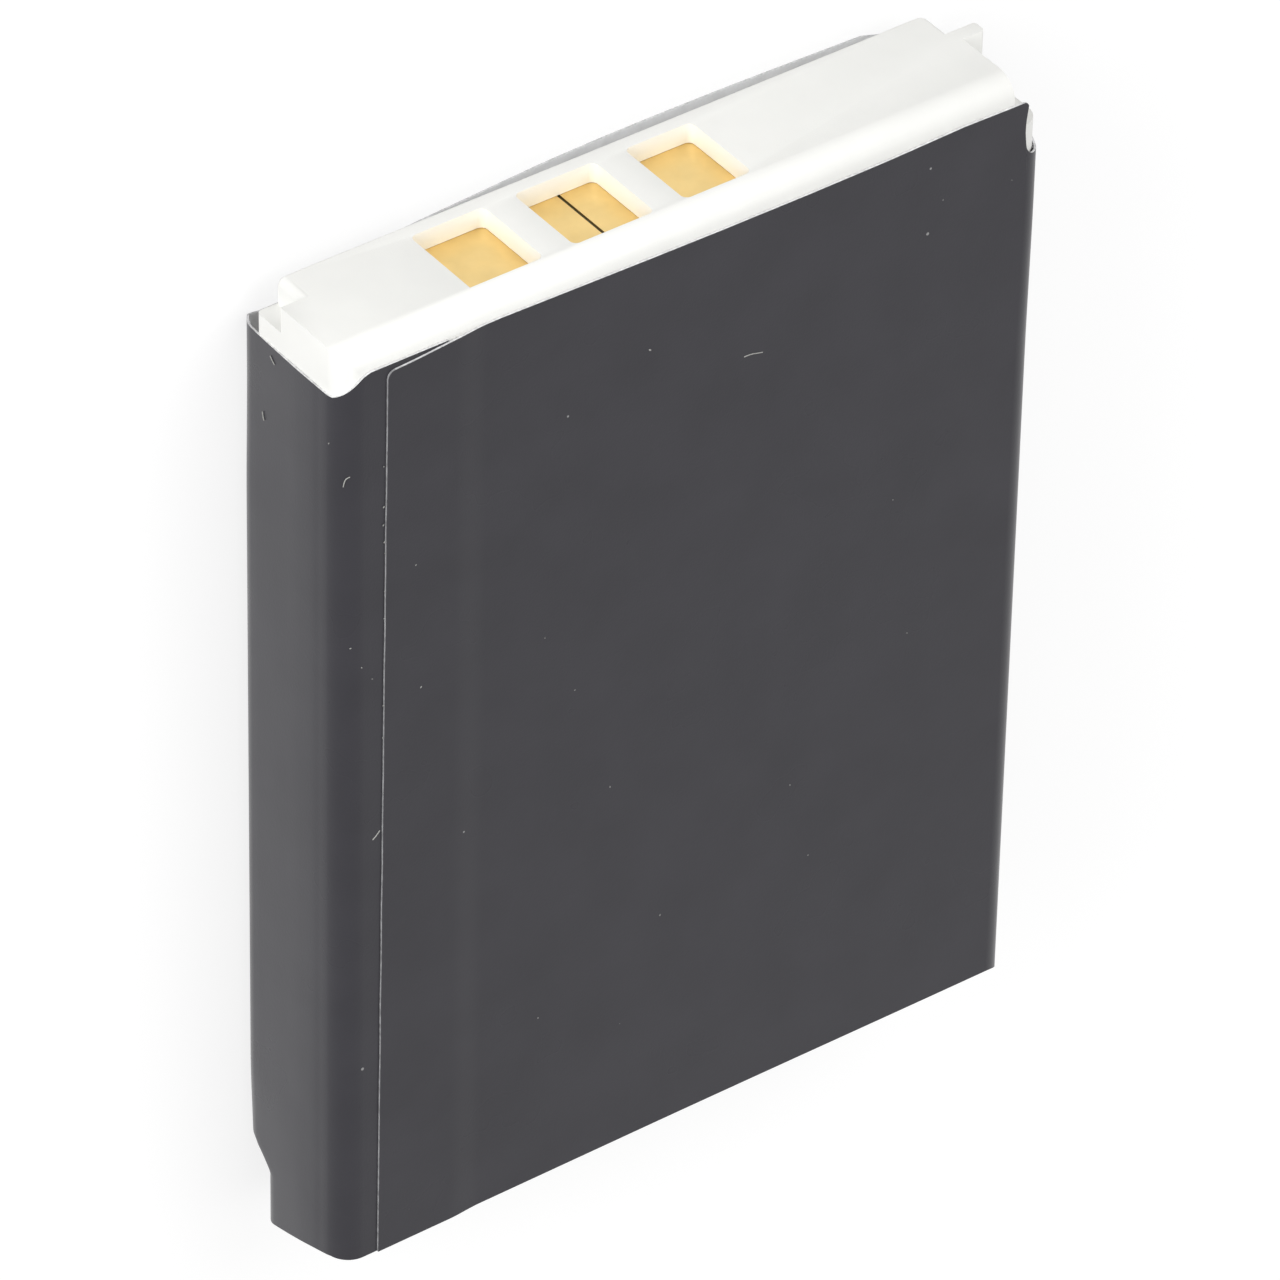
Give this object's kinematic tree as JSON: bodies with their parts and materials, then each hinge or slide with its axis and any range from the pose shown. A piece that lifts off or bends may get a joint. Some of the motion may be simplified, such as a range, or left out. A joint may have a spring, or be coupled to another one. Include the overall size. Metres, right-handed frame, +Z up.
{
  "type": "mobile phone battery",
  "caption": "Slim rechargeable pack for a mobile phone: film-wrapped cell with a moulded white end cap, recessed gold contacts and a slanted foot.",
  "frame": {"origin": "centre of the bounding box in X and Y, on the plane that the back face rests on", "axes": "+X across the pack to the right of the front face, +Y along the pack to the contact end, +Z up through the thickness, out of the front face; the pack lies on its back"},
  "size_m": [0.041, 0.057, 0.0088],
  "materials": {
    "label_film": "satin printed film with white cut edges",
    "moulded_white": "satin moulded white",
    "gold_plating": "bright gold plating",
    "board_laminate": "semi-gloss solder mask",
    "chip_package": "matt",
    "capacitor_ceramic": "matt",
    "resistor_body": "satin",
    "cell_aluminium": "drawn, satin",
    "nickel_strip": "rolled nickel",
    "gasket_plastic": "matt",
    "fish_paper": "matt",
    "fuse_body": "satin",
    "tape_film": "matt"
  },
  "bodies": {
    "root": {"label_wrap": "label_film", "top_cap": "moulded_white", "bottom_cap": "moulded_white", "contact_negative": "gold_plating", "contact_identity": "gold_plating", "contact_temperature": "gold_plating", "contact_positive": "gold_plating", "protection_board": "board_laminate", "switch_transistor": "chip_package", "protection_chip": "chip_package", "filter_capacitor": "capacitor_ceramic", "bypass_capacitor": "capacitor_ceramic", "supply_resistor": "resistor_body", "identity_resistor": "resistor_body", "thermistor": "resistor_body", "sealed_cell": "cell_aluminium", "terminal_rivet": "nickel_strip", "terminal_gasket": "gasket_plastic", "filler_plug": "cell_aluminium", "lid_insulator": "fish_paper", "positive_tab": "nickel_strip", "negative_tab": "nickel_strip", "fuse_lead": "nickel_strip", "thermal_fuse": "fuse_body", "bottom_tape": "tape_film"}
  },
  "joints": []
}
